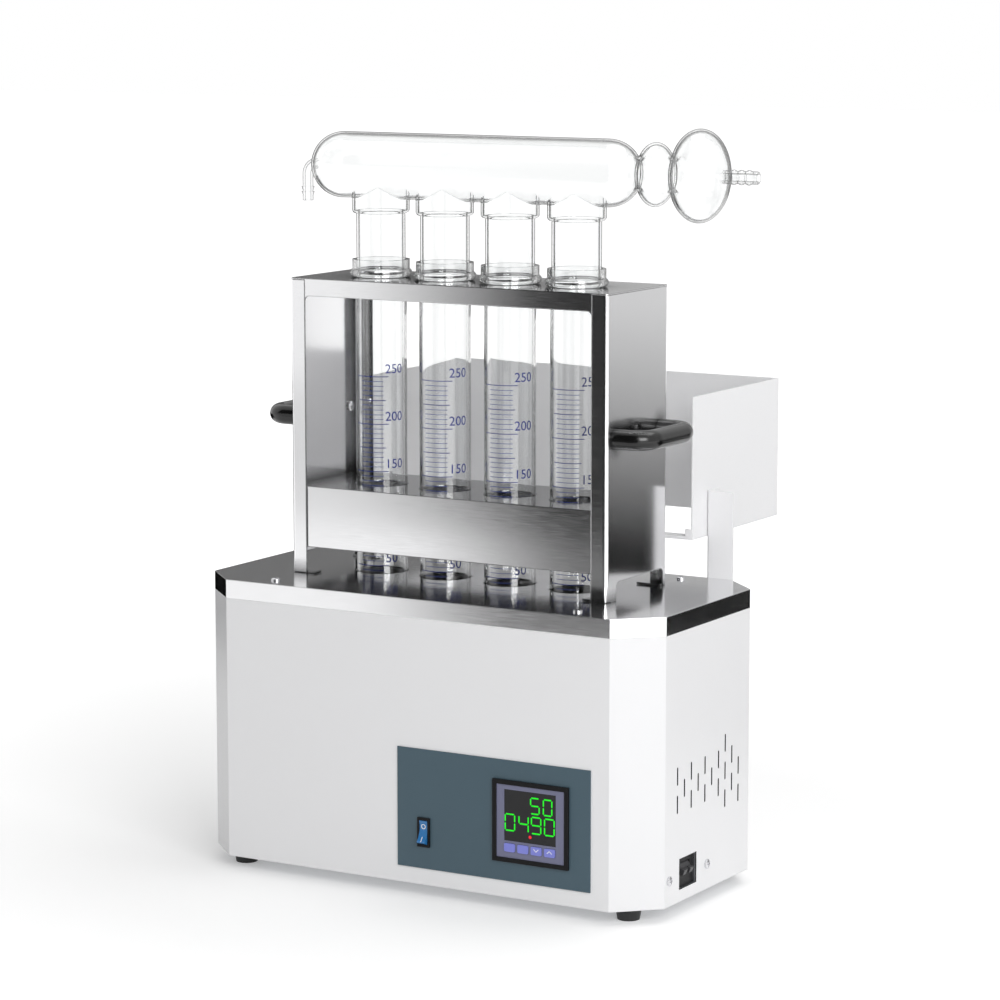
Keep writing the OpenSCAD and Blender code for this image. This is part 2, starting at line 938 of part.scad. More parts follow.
module thermocouple() {
    color("silver")
    probe_place()
        translate([0, 0, -jacket_side - heater_out])
            cylinder(d = probe_d, h = probe_in + jacket_side + heater_out);
}

module insulation_jacket() {
    color("#efe9da")
    difference() {
        block_space(jacket_side, jacket_t, jacket_bottom, block_top);
        block_space(0, 0, block_bottom, block_top + over);
        heater_places()
            translate([0, 0, -jacket_side - over])
                cylinder(d = heater_d + 2 * fit, h = jacket_side + 2 * over);
        probe_place()
            translate([0, 0, -jacket_side - over])
                cylinder(d = probe_d + 2 * rod_fit, h = jacket_side + 2 * over);
    }
}

module block_stand() {
    color("silver")
    for (x = [first_x - block_end + stand_inset, last_x + block_end - stand_inset])
        translate([x + stand_w / 2, tube_row_y, wall_z + floor_t])
            rotate([90, 0, -90])
                linear_extrude(height = stand_w)
                    hat_outline(block_d, jacket_bottom - wall_z - floor_t, stand_flange, stand_t);
}

// Hat section: a bridge with two walls and two flanges on the floor
module hat_outline(w, h, flange, t) {
    translate([-w / 2 - flange, 0])
        square([flange + t, t]);
    translate([w / 2 - t, 0])
        square([flange + t, t]);
    translate([-w / 2, 0])
        square([t, h]);
    translate([w / 2 - t, 0])
        square([t, h]);
    translate([-w / 2, h - t])
        square([w, t]);
}

// Power parts on the floor

module relay_heatsink() {
    step = (sink_w - sink_fin_t) / (sink_fins - 1);
    color("#9a9a9d")
    translate([sink_x - sink_w / 2, sink_y - sink_d / 2, wall_z + floor_t]) {
        translate([0, 0, sink_fin_h])
            cube([sink_w, sink_d, sink_base_t]);
        for (i = [0 : sink_fins - 1])
            translate([i * step, 0, 0])
                cube([sink_fin_t, sink_d, sink_fin_h]);
    }
}

module solid_state_relay() {
    sink_top = wall_z + floor_t + sink_fin_h + sink_base_t;
    color("#3d3f44")
    translate([sink_x, sink_y, sink_top]) {
        translate([-relay_w / 2, -relay_d / 2, 0])
            cube([relay_w, relay_d, relay_pad_h]);
        translate([-relay_w / 2, -relay_d / 2 + relay_screw_d, relay_pad_h])
            cube([relay_w, relay_d - 2 * relay_screw_d, relay_h - relay_pad_h]);
    }
}

module terminal_strip() {
    pitch = (strip_w - strip_wall) / strip_ways;
    color("#d8d8d2")
    translate([strip_x - strip_w / 2, strip_y - strip_d / 2, wall_z + floor_t])
        difference() {
            cube([strip_w, strip_d, strip_h]);
            for (i = [0 : strip_ways - 1])
                translate([strip_wall + i * pitch, -over, strip_h / 2])
                    cube([pitch - strip_wall, strip_d + 2 * over, strip_h]);
        }
}

// Tube rack

module rack_outline(inset, r) {
    translate([rack_x - rack_w / 2 + inset, rack_y - rack_d / 2 + inset])
        rounded([rack_w - 2 * inset, rack_d - 2 * inset], r);
}

// Folded sheet of the rack's four walls, cut to the stiles and panel of one side
module rack_side_outline(side) {
    difference() {
        rack_wall_outline();
        translate([rack_x - side * stile_w, rack_y])
            square([rack_w, 2 * rack_d], center = true);
    }
}

module rack_wall_outline() {
    difference() {
        rack_outline(0, rack_r);
        rack_outline(rack_t, rack_r - rack_t);
    }
}

// Side panel with its two stiles, in one folded sheet
module rack_side(side) {
    color("lightgray") {
        difference() {
            translate([0, 0, rack_z])
                linear_extrude(height = rack_top - rack_t - rack_z)
                    rack_side_outline(side);
            arch_cut();
            handle_screw_places(side)
                cylinder(d = large_d + fit, h = 2 * rack_t + 2 * over, center = true);
        }
        rack_tabs(side);
    }
}

// Top plate with the bands folded down between the stiles
module rack_top_tray() {
    band = stile_w + window_r_share * window_r;
    color("lightgray")
    difference() {
        union() {
            translate([0, 0, rack_top - rack_t])
                linear_extrude(height = rack_t)
                    rack_outline(0, rack_r);
            translate([0, 0, rack_top - band])
                linear_extrude(height = band)
                    intersection() {
                        rack_wall_outline();
                        translate([rack_x, rack_y])
                            square([rack_w - 2 * stile_w, 2 * rack_d], center = true);
                    }
        }
        window_cut();
        for (i = [0 : 3])
            translate([tube_x(i), tube_row_y, rack_top - rack_t - over])
                cylinder(d = tube_hole_d, h = rack_t + 2 * over);
    }
}

// Opening through the front and back, from the legs' ends up to the top band
module window_cut() {
    translate([rack_x, rack_y + rack_d, rack_z])
        rotate([90, 0, 0])
            linear_extrude(height = 2 * rack_d)
                top_rounded(rack_w - 2 * stile_w, rack_top - rack_z - stile_w, window_r);
}

module arch_cut() {
    w = rack_d - leg_front_w - leg_back_w;
    translate([rack_x - rack_w, rack_y + (leg_front_w - leg_back_w) / 2, rack_z])
        rotate([90, 0, 90])
            linear_extrude(height = 2 * rack_w)
                top_rounded(w, arch_h, arch_r);
}

// Upright outline with two rounded upper corners, its lower edge past the sheet's end
module top_rounded(w, h, r) {
    translate([-w / 2, -over])
        square([w, h - r + over]);
    translate([-w / 2 + r, 0])
        square([w - 2 * r, h]);
    for (x = [-w / 2 + r, w / 2 - r])
        translate([x, h - r])
            circle(r = r);
}

module rack_tabs(side) {
    translate([0, 0, rack_z])
        linear_extrude(height = tab_t)
            intersection() {
                rack_outline(rack_t / 2, rack_r - rack_t / 2);
                for (end = [-1, 1])
                    translate([rack_x + side * (rack_w - tab_w) / 2, rack_y + end * (rack_d - tab_d) / 2])
                        square([tab_w, tab_d], center = true);
            }
}

module rack_shelf() {
    shelf_top = cover_z + shelf_z;
    color("lightgray")
    difference() {
        translate([0, 0, shelf_top - band_h])
            linear_extrude(height = band_h)
                rack_outline(rack_t, rack_r);
        translate([0, 0, shelf_top - band_h - over])
            linear_extrude(height = band_h - rack_t + over)
                rack_outline(2 * rack_t, rack_r - rack_t);
        for (i = [0 : 3])
            translate([tube_x(i), tube_row_y, shelf_top - rack_t - over])
                cylinder(d = tube_hole_d, h = rack_t + 2 * over);
    }
}

module handle_screw_places(side) {
    for (end = [-1, 1])
        translate([rack_x + side * rack_w / 2, rack_y + end * grip_span / 2, cover_z + grip_z])
            rotate([0, side * 90, 0])
                children();
}

module handle(side) {
    arm_l = grip_reach - grip_r;
    grip_l = grip_span - 2 * grip_r;
    panel_face = rack_x + side * rack_w / 2;
    color("#151516")
    difference() {
        union() {
            handle_screw_places(side)
                cylinder(d = grip_d, h = arm_l);
            translate([panel_face + side * grip_reach, rack_y, cover_z + grip_z])
                rotate([90, 0, 0])
                    cylinder(d = grip_d, h = grip_l, center = true);
            for (end = [-1, 1])
                translate([panel_face + side * arm_l, rack_y + end * grip_l / 2, cover_z + grip_z])
                    mirror([side < 0 ? 1 : 0, 0, 0])
                        mirror([0, end < 0 ? 1 : 0, 0])
                            rotate_extrude(angle = 90)
                                translate([grip_r, 0])
                                    circle(d = grip_d);
        }
        handle_screw_places(side)
            translate([0, 0, -over])
                cylinder(d = large_d + fit, h = handle_hole_l + over);
    }
}

module handle_screws() {
    color("silver")
    for (side = [-1, 1])
        handle_screw_places(side)
            translate([0, 0, -rack_t])
                mirror([0, 0, 1])
                    pan_screw(large_d, large_head_d, large_head_h, handle_hole_l);
}

// Digestion tubes

module digestion_tube(i) {
    bore_d = tube_d - 2 * tube_t;
    color("azure", 0.4)
    translate([tube_x(i), tube_row_y, 0])
        difference() {
            union() {
                translate([0, 0, tube_bottom + tube_d / 2]) {
                    sphere(d = tube_d);
                    cylinder(d = tube_d, h = tube_l - tube_d / 2 - mouth_h);
                }
                translate([0, 0, bead_z])
                    bead(bead_d, bead_h);
                translate([0, 0, bead_z + bead_h / 2])
                    cylinder(d = mouth_d, h = mouth_h + bead_h / 2);
            }
            translate([0, 0, tube_bottom + tube_d / 2]) {
                sphere(d = bore_d);
                cylinder(d = bore_d, h = tube_l);
            }
            translate([0, 0, tube_top - mouth_bore_l])
                cylinder(d = mouth_bore, h = tube_l);
        }
}

// Ring with a rounded rim
module bead(d, h) {
    cylinder(d = d - h, h = h);
    translate([0, 0, h / 2])
        rotate_extrude()
            translate([d / 2 - h / 2, 0])
                circle(d = h);
}

// Exhaust manifold

module duct_outline(inset) {
    r = duct_d / 2 - inset;
    x0 = first_x - duct_left;
    intersection() {
        translate([0, x0 - duct_d])
            square([bulb_2_d, barb_tip_x - x0 + 2 * duct_d]);
        union() {
            translate([0, x0])
                square([r, end_x - x0]);
            for (x = [x0, end_x])
                translate([0, x])
                    circle(r = r);
            translate([0, end_x])
                square([neck_d / 2 - inset, bulb_2_x - end_x]);
            waist(inset, end_x + waist_at(duct_d / 2, duct_d / 2),
                bulb_1_x - waist_at(bulb_1_d / 2, bulb_1_half));
            waist(inset, bulb_1_x + waist_at(bulb_1_d / 2, bulb_1_half),
                bulb_2_x - waist_at(bulb_2_d / 2, bulb_2_half));
            translate([0, bulb_1_x])
                scale([bulb_1_d / 2 - inset, bulb_1_half - inset])
                    circle(r = 1);
            translate([0, bulb_2_x])
                scale([bulb_2_d / 2 - inset, bulb_2_half - inset])
                    circle(r = 1);
        }
    }
}

// Reach along the axis of a round body, a wide and b long from its middle, where a waist begins
function waist_at(a, b) = b * sqrt(1 - pow((neck_d / 2 + waist_r) / a, 2));

// Drawn-in neck between two round bodies, from x0 to x1
module waist(inset, x0, x1) {
    top = neck_d / 2 + waist_r;
    r = (x1 - x0) / 2;
    difference() {
        translate([0, x0 - inset - over])
            square([top - inset, x1 - x0 + 2 * inset + 2 * over]);
        translate([neck_d / 2 + r, (x0 + x1) / 2])
            circle(r = r + inset);
    }
}

// Hose barb with rounded bumps and a rounded end
module barb_outline() {
    root = bulb_2_x + bulb_2_half - duct_t;
    translate([0, root])
        square([barb_d / 2, barb_tip_x - barb_tip_r - root]);
    translate([0, root])
        square([barb_d / 2 - barb_tip_r, barb_tip_x - root]);
    translate([barb_d / 2 - barb_tip_r, barb_tip_x - barb_tip_r])
        circle(r = barb_tip_r);
    for (i = [0 : barb_bumps - 1])
        translate([barb_d / 2 + barb_bump - barb_bump_r, barb_x + barb_first + i * barb_bump_gap])
            circle(r = barb_bump_r);
}

module along_duct() {
    translate([0, tube_row_y, axis_z])
        rotate([0, 90, 0])
            rotate_extrude()
                children();
}

module exhaust_manifold() {
    stem_bottom = tube_top - mouth_bore_l + rest_gap;
    stem_l = axis_z - stem_bottom;
    stem_bore = stem_d - 2 * duct_t;
    color("azure", 0.4)
    difference() {
        union() {
            along_duct()
                duct_outline(0);
            along_duct()
                barb_outline();
            for (i = [0 : 3])
                translate([tube_x(i), tube_row_y, stem_bottom]) {
                    cylinder(d = stem_d, h = stem_l);
                    translate([0, 0, stem_l - skirt_drop])
                        rounded_plug(skirt_d, skirt_drop, skirt_r);
                }
            nozzle(nozzle_d, 0);
            for (i = [0, 1])
                translate([nozzle_x, tube_row_y,
                    axis_z - nozzle_ridge_drop - nozzle_ridge_l - i * nozzle_ridge_gap])
                    cylinder(d1 = nozzle_d, d2 = nozzle_d + 2 * nozzle_ridge, h = nozzle_ridge_l);
        }
        along_duct()
            duct_outline(duct_t);
        along_duct()
            translate([0, bulb_2_x])
                square([barb_bore / 2, bulb_2_half + barb_l + over]);
        for (i = [0 : 3])
            translate([tube_x(i), tube_row_y, stem_bottom - over]) {
                cylinder(d = stem_bore, h = stem_l + over);
                translate([0, 0, stem_l - skirt_drop + skirt_t + over])
                    cylinder(d = skirt_d - 2 * skirt_t, h = skirt_drop - skirt_t);
            }
        nozzle(nozzle_bore, over);
    }
}

// Plug whose lower edge is rounded
module rounded_plug(d, h, r) {
    translate([0, 0, r])
        cylinder(d = d, h = h - r);
    cylinder(d = d - 2 * r, h = h);
    translate([0, 0, r])
        rotate_extrude()
            translate([d / 2 - r, 0])
                circle(r = r);
}

// Elbow tube out of the round left end and down, d across
module nozzle(d, more) {
    translate([nozzle_x + nozzle_bend, tube_row_y, axis_z])
        rotate([0, 90, 0])
            cylinder(d = d, h = 2 * nozzle_d);
    translate([nozzle_x + nozzle_bend, tube_row_y, axis_z - nozzle_bend])
        rotate([90, 0, 0])
            rotate([0, 0, 90])
                rotate_extrude(angle = 90)
                    translate([nozzle_bend, 0])
                        circle(d = d);
    translate([nozzle_x, tube_row_y, axis_z - nozzle_drop - more])
        cylinder(d = d, h = nozzle_drop - nozzle_bend + more);
}

// Cooling holder and its uprights

module holder_box() {
    inner_w = holder_w - 2 * holder_t;
    color("white")
    difference() {
        union() {
            translate([-holder_w / 2, holder_front_y, holder_z0])
                difference() {
                    cube([holder_w, holder_d, holder_h]);
                    translate([holder_t, -over, -over])
                        cube([inner_w, holder_d - holder_t + over, holder_h + 2 * over]);
                }
            translate([-holder_w / 2, holder_front_y, holder_z0])
                cube([holder_w, lip_d, lip_h]);
            for (side = [-1, 1])
                translate([side * (holder_w / 2 - lip_tab_w / 2) - lip_tab_w / 2, holder_front_y, holder_z0])
                    cube([lip_tab_w, holder_t, lip_tab_h]);
        }
        for (side = [-1, 1])
            holder_screw_places(side)
                cylinder(d = small_d + fit, h = 2 * (holder_t + over), center = true);
    }
}

module holder_screw_places(side) {
    for (share = holder_screw_shares)
        translate([side * holder_w / 2, back_y + leaf_screw_share * upright_d,
            holder_z0 + share * (upright_up - holder_z)])
            rotate([0, side * 90, 0])
                children();
}

module upright_screw_places(side) {
    from_middle = holder_w / 2 + leaf_screw_share * upright_w;
    for (share = upright_screw_shares)
        translate([side * from_middle, back_y, cover_z - share * upright_down])
            rotate([-90, 0, 0])
                children();
}

// Angle section of an upright, folded round its inner radius
module upright_outline() {
    translate([upright_r, 0])
        square([upright_w - upright_r, holder_t]);
    translate([0, upright_r])
        square([holder_t, upright_d - upright_r]);
    intersection() {
        translate([upright_r, upright_r])
            difference() {
                circle(r = upright_r);
                circle(r = upright_r - holder_t);
            }
        square(upright_r);
    }
}

module holder_upright(side) {
    color("whitesmoke")
    difference() {
        translate([side * holder_w / 2, back_y, cover_z - upright_down])
            mirror([side < 0 ? 1 : 0, 0, 0])
                linear_extrude(height = upright_down + upright_up)
                    upright_outline();
        holder_screw_places(side)
            cylinder(d = small_d + fit, h = 2 * (upright_w + over), center = true);
        upright_screw_places(side)
            cylinder(d = small_d + fit, h = 2 * (upright_d + over), center = true);
    }
}

module holder_screws() {
    color("silver")
    for (side = [-1, 1]) {
        holder_screw_places(side)
            translate([0, 0, holder_t])
                pan_screw(small_d, small_head_d, small_head_h, 3 * holder_t);
        upright_screw_places(side)
            translate([0, 0, holder_t])
                pan_screw(small_d, small_head_d, small_head_h, 3 * holder_t);
    }
}

// Sets the middle of the outline on the origin
module placed() {
    translate([-mid_x, -mid_y, 0])
        children();
}

placed() cabinet_shell();
placed() base_plate();
placed() feet();
placed() foot_screws();
placed() top_cover();
placed() cover_screws();
placed() cover_standoffs();
placed() front_panel();
placed() controller_bezel();
placed() controller_face();
placed() controller_case();
placed() display_window();
placed() key(0);  // key_1
placed() key(1);  // key_2
placed() key(2);  // key_3
placed() key(3);  // key_4
placed() heat_switch_frame();
placed() heat_switch_rocker();
placed() power_switch_body();
placed() power_switch_toggle();
placed() power_switch_bracket();
placed() power_switch_screws();
placed() cord_gland();
placed() heating_block();
placed() heater_rods();
placed() thermocouple();
placed() insulation_jacket();
placed() block_stand();
placed() relay_heatsink();
placed() solid_state_relay();
placed() terminal_strip();
placed() rack_top_tray();  // rack_top
placed() rack_side(-1);  // rack_side_left
placed() rack_side(1);  // rack_side_right
placed() rack_shelf();
placed() handle(-1);  // handle_left
placed() handle(1);  // handle_right
placed() handle_screws();
placed() digestion_tube(0);  // digestion_tube_1
placed() digestion_tube(1);  // digestion_tube_2
placed() digestion_tube(2);  // digestion_tube_3
placed() digestion_tube(3);  // digestion_tube_4
placed() exhaust_manifold();
placed() holder_box();
placed() holder_upright(-1);  // holder_upright_left
placed() holder_upright(1);  // holder_upright_right
placed() holder_screws();
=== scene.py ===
"""Looks of the block digester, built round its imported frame."""

import math

import bmesh
import bpy
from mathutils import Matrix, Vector
from mathutils.bvhtree import BVHTree


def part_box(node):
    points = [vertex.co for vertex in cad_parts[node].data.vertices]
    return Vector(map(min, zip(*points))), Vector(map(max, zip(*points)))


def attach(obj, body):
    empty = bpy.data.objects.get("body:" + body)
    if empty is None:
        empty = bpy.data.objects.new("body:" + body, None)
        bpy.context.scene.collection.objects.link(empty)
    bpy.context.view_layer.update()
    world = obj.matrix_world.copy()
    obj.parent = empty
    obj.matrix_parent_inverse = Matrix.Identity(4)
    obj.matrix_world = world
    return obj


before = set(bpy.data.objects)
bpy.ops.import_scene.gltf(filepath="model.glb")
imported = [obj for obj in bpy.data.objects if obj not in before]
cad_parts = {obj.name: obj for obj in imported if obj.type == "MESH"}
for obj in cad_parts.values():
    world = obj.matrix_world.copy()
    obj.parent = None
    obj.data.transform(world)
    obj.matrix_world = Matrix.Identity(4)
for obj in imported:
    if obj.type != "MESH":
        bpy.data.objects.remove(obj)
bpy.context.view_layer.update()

MM = 0.001
WHITE = (1, 1, 1, 1)

shell_low, shell_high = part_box("cabinet_shell")
MIDDLE = (shell_low + shell_high) / 2


def at(x, y, z):
    """Place of a point given in mm from the cabinet's middle and from the bench."""
    return Vector((MIDDLE.x + x * MM, MIDDLE.y + y * MM, z * MM))


# Node helpers

def node(tree, kind, sockets=None, **settings):
    """New node with its settings; sockets maps its inputs to plain values or to other nodes' outputs."""
    made = tree.nodes.new(kind)
    for key, value in settings.items():
        setattr(made, key, value)
    for key, value in (sockets or {}).items():
        if isinstance(value, bpy.types.NodeSocket):
            tree.links.new(value, made.inputs[key])
        else:
            made.inputs[key].default_value = value
    return made


def object_place(tree):
    return node(tree, "ShaderNodeTexCoord").outputs["Object"]


def normal_of(tree, kind="Normal"):
    return node(tree, "ShaderNodeNewGeometry").outputs[kind]


def along(tree, vector, axis):
    """One coordinate of a vector, by name or by number."""
    return node(tree, "ShaderNodeSeparateXYZ", {"Vector": vector}).outputs[axis]


def noise(tree, size, stretch=(1, 1, 1), detail=3):
    """Noise whose blobs are size mm across, drawn out along the axes by stretch."""
    place = object_place(tree)
    scale = [1 / (size * MM * share) for share in stretch]
    mapped = node(tree, "ShaderNodeMapping", {"Vector": place, "Scale": scale})
    sockets = {"Vector": mapped.outputs["Vector"], "Scale": 1, "Detail": detail}
    return node(tree, "ShaderNodeTexNoise", sockets).outputs["Fac"]


def spread(tree, value, low, high, to_low=0.0, to_high=1.0):
    """Value carried over from one range to another, and held at the ends of it."""
    sockets = {"Value": value, "From Min": low, "From Max": high, "To Min": to_low, "To Max": to_high}
    return node(tree, "ShaderNodeMapRange", sockets).outputs["Result"]


def mix(tree, factor, a, b):
    """Colour that runs from a to b as factor runs from 0 to 1."""
    made = node(tree, "ShaderNodeMix", data_type="RGBA")
    for socket, value in zip((made.inputs[0], made.inputs[6], made.inputs[7]), (factor, a, b)):
        if isinstance(value, bpy.types.NodeSocket):
            tree.links.new(value, socket)
        else:
            socket.default_value = value
    return made.outputs[2]


def maths(tree, operation, a, b):
    return node(tree, "ShaderNodeMath", {0: a, 1: b}, operation=operation).outputs[0]


def bump(tree, height, depth, normal=None):
    """Normal bent by a relief depth mm deep, on top of a given normal if there is one."""
    sockets = {"Height": height, "Distance": depth * MM, "Strength": 1}
    if normal:
        sockets["Normal"] = normal
    return node(tree, "ShaderNodeBump", sockets).outputs["Normal"]


def new_look(name):
    material = bpy.data.materials.new(name)
    material.use_nodes = True
    tree = material.node_tree
    return material, tree, tree.nodes["Principled BSDF"]


def shade(colour, factor):
    """Colour times a factor, opaque."""
    return (*[min(1, channel * factor) for channel in colour[:3]], 1)


# Ranges over which tone or gloss changes: of the grain's noise, of the cosine between rounded and flat
# normal, for edge wear and painted edge light, of the share of open space around a point, for painted
# shade in enclosed corners, and of the normal's upward part, for a painted dark reflection on upward
# faces.
GRAIN_TONE = (0.35, 0.65)
GRAIN_GLOSS = (0.3, 0.7)
EDGE_BEND = (0.98, 0.8)
PAINTED_SHADE_RANGE = (0.45, 0.95)
UPWARD = (0.7, 0.95)
SIDEWAYS = 0.5
PAINTED_SHADE_TONE = 0.04
SLOT_SHADE_TONE = 0.03
GRAIN_DETAIL = 4
EDGE_SAMPLES = 6
PAINTED_SHADE_SAMPLES = 4


def surface(name, colour, rough, metal=0.0, patch=30, patch_share=0.04, grain=1.0, grain_depth=0.01,
            stretch=(1, 1, 1), rough_share=0.2, edge=0.0, edge_colour=None, coat=0.0, sheen=0.0,
            painted_shade_reach=0.0, painted_top_shade=1.0, slot_t=0.0, shine=0.5):
    """A finish with slow colour patches, a fine grain in bump and gloss, and softened edges.

    patch and grain are sizes in mm, grain_depth its relief and edge the radius of the softened edges, both
    in mm too; stretch draws the grain out. patch_share and rough_share say how far tone and gloss wander.
    painted_shade_reach is the reach in mm over which enclosed corners darken with painted shade,
    painted_top_shade the tone of upward faces, a painted dark reflection, slot_t the thickness of the side
    walls, whose cut edges get painted shade, and shine the strength of the gloss.
    """
    material, tree, shader = new_look(name)
    patches = noise(tree, patch)
    fine = noise(tree, grain, stretch, GRAIN_DETAIL)
    tone = mix(tree, patches, shade(colour, 1 - patch_share), shade(colour, 1 + patch_share))
    tone = mix(tree, spread(tree, fine, *GRAIN_TONE), tone, shade(colour, 1 - patch_share / 2))
    normal = None
    if edge:
        bevel = node(tree, "ShaderNodeBevel", {"Radius": edge * MM}, samples=EDGE_SAMPLES)
        normal = bevel.outputs["Normal"]
        # Edge colour, partly wear and partly painted light: lighter edges stand in for highlights, and the
        # steel's dark edges for dark reflections.
        if edge_colour:
            flat = normal_of(tree)
            bend = node(tree, "ShaderNodeVectorMath", {0: normal, 1: flat}, operation="DOT_PRODUCT")
            edge_wear_and_painted_light = spread(tree, bend.outputs["Value"], *EDGE_BEND)
            if not metal:
                edge_wear_and_painted_light = maths(tree, "MULTIPLY", edge_wear_and_painted_light, patches)
            tone = mix(tree, edge_wear_and_painted_light, tone, edge_colour)
    # Painted shade: enclosed corners, found by ambient occlusion, turn almost black.
    if painted_shade_reach:
        reach = {"Distance": painted_shade_reach * MM}
        open_share = node(tree, "ShaderNodeAmbientOcclusion", reach, samples=PAINTED_SHADE_SAMPLES).outputs["AO"]
        tone = mix(tree, spread(tree, open_share, *PAINTED_SHADE_RANGE), shade(colour, PAINTED_SHADE_TONE), tone)
    # Painted dark reflection: faces that look up are darkened.
    if painted_top_shade < 1:
        up = along(tree, normal_of(tree), "Z")
        tone = mix(tree, spread(tree, up, *UPWARD), tone, shade(colour, painted_top_shade))
    # Painted shade: faces across the side walls' thickness, the sides of the slots and the cut edges, turn
    # almost black.
    if slot_t:
        x = along(tree, object_place(tree), "X")
        from_middle = maths(tree, "ABSOLUTE", maths(tree, "SUBTRACT", x, MIDDLE.x), 0)
        across = along(tree, normal_of(tree, "True Normal"), "X")
        in_wall = maths(tree, "GREATER_THAN", from_middle, shell_high.x - MIDDLE.x - slot_t * MM)
        cut = maths(tree, "LESS_THAN", maths(tree, "ABSOLUTE", across, 0), SIDEWAYS)
        tone = mix(tree, maths(tree, "MULTIPLY", in_wall, cut), tone, shade(colour, SLOT_SHADE_TONE))
    gloss = spread(tree, fine, *GRAIN_GLOSS, rough * (1 - rough_share), rough * (1 + rough_share))
    tree.links.new(tone, shader.inputs["Base Color"])
    tree.links.new(gloss, shader.inputs["Roughness"])
    tree.links.new(bump(tree, fine, grain_depth, normal), shader.inputs["Normal"])
    shader.inputs["Metallic"].default_value = metal
    shader.inputs["Specular IOR Level"].default_value = shine
    shader.inputs["Coat Weight"].default_value = coat
    shader.inputs["Sheen Weight"].default_value = sheen
    return material


SLIM_RIM_START = 0.25
GLASS_WAVE = 25
GLASS_WAVE_DEPTH = 0.02
GLASS_WAVE_TONE = 0.985
GLASS_IOR = 1.5
GLASS_COAT_ROUGH = 0.02


def glass(name, clear, rim, rim_start, rim_full, ior, slim=None):
    """Thin clear glass with a painted dark outline, standing in for the dark surroundings that glass shows
    at its edges.

    rim_start and rim_full are the slants, 0 square on and 1 edge on, at which the outline's colour starts
    and is full. slim gives the x places beyond which the glass is thin and its outline starts earlier.
    """
    material, tree, shader = new_look(name)
    facing = node(tree, "ShaderNodeLayerWeight", {"Blend": 0.5}).outputs["Facing"]
    waves = noise(tree, GLASS_WAVE)
    clear_tone = mix(tree, waves, clear, shade(clear, GLASS_WAVE_TONE))
    if slim:
        x = along(tree, object_place(tree), "X")
        outside = maths(tree, "MAXIMUM", maths(tree, "LESS_THAN", x, slim[0]),
                        maths(tree, "GREATER_THAN", x, slim[1]))
        rim_start = spread(tree, outside, 0, 1, rim_start, SLIM_RIM_START)
    # Painted reflection: towards its outline the glass turns to the dark rim colour.
    tone = mix(tree, spread(tree, facing, rim_start, rim_full), clear_tone, rim)
    tree.links.new(tone, shader.inputs["Base Color"])
    tree.links.new(bump(tree, waves, GLASS_WAVE_DEPTH), shader.inputs["Coat Normal"])
    shader.inputs["Roughness"].default_value = 0
    shader.inputs["IOR"].default_value = ior
    shader.inputs["Transmission Weight"].default_value = 1
    shader.inputs["Coat Weight"].default_value = 1
    shader.inputs["Coat IOR"].default_value = GLASS_IOR
    shader.inputs["Coat Roughness"].default_value = GLASS_COAT_ROUGH
    return material


LIT_PATCH = 0.6
LIT_LOW = 0.85
LENS_TONES = (0.3, 0.4)


def glowing(name, colour, strength):
    """Lit lens or segment, a little uneven."""
    material, tree, shader = new_look(name)
    uneven = noise(tree, LIT_PATCH)
    lens_tones = [shade(colour, share) for share in LENS_TONES]
    tree.links.new(mix(tree, uneven, shade(colour, LIT_LOW), colour), shader.inputs["Emission Color"])
    tree.links.new(mix(tree, uneven, *lens_tones), shader.inputs["Base Color"])
    shader.inputs["Emission Strength"].default_value = strength
    return material


# Finishes of the frame

# The steel's dark edge colour is a painted dark reflection line along its edges.
RACK_STEEL = {"metal": 1, "grain": 0.25, "grain_depth": 0.0008, "stretch": (60, 1, 1), "patch": 25,
              "patch_share": 0.03, "rough_share": 0.35, "edge": 1.3, "edge_colour": (0.06, 0.06, 0.06, 1)}
RACK_TONE = (0.82, 0.82, 0.83, 1)
RACK_ROUGH = 0.13
PAINT = {"grain": 0.9, "grain_depth": 0.012, "patch": 60, "patch_share": 0.012}
PAINT_TONE = (0.80, 0.80, 0.81, 1)
PAINT_ROUGH = 0.34
WALL_T = 1.3

# The white paint's lighter edges are partly wear and partly a painted highlight.
white_paint = surface("white_paint", PAINT_TONE, PAINT_ROUGH, **PAINT, edge=1.2,
                      edge_colour=(0.9, 0.9, 0.9, 1))
# The shell's slot sides and cut edges get painted shade.
shell_paint = surface("shell_paint", PAINT_TONE, PAINT_ROUGH, **PAINT, edge=0.8, slot_t=WALL_T)
# The rack's steel gets painted shade in enclosed corners, the tray over a wider reach, and the shelf's
# upward faces a painted dark reflection.
steel = surface("stainless", RACK_TONE, RACK_ROUGH, **RACK_STEEL, painted_shade_reach=12)
tray_steel = surface("tray_steel", RACK_TONE, RACK_ROUGH, **RACK_STEEL, painted_shade_reach=60)
shelf_steel = surface("shelf_steel", RACK_TONE, RACK_ROUGH, **RACK_STEEL, painted_top_shade=0.25)
cover_steel = surface("cover_steel", (0.80, 0.80, 0.81, 1), 0.14, metal=1, grain=0.3, grain_depth=0.0006,
                      stretch=(60, 1, 1), patch=40, patch_share=0.03, rough_share=0.4, edge=0.8)
zinc = surface("zinc_steel", (0.60, 0.62, 0.65, 1), 0.32, metal=1, grain=3, grain_depth=0.004,
               patch=12, patch_share=0.12, edge=0.4)
screw_steel = surface("screw_steel", (0.72, 0.72, 0.74, 1), 0.2, metal=1, grain=0.3, grain_depth=0.004,
                      patch=3, patch_share=0.08, edge=0.2)
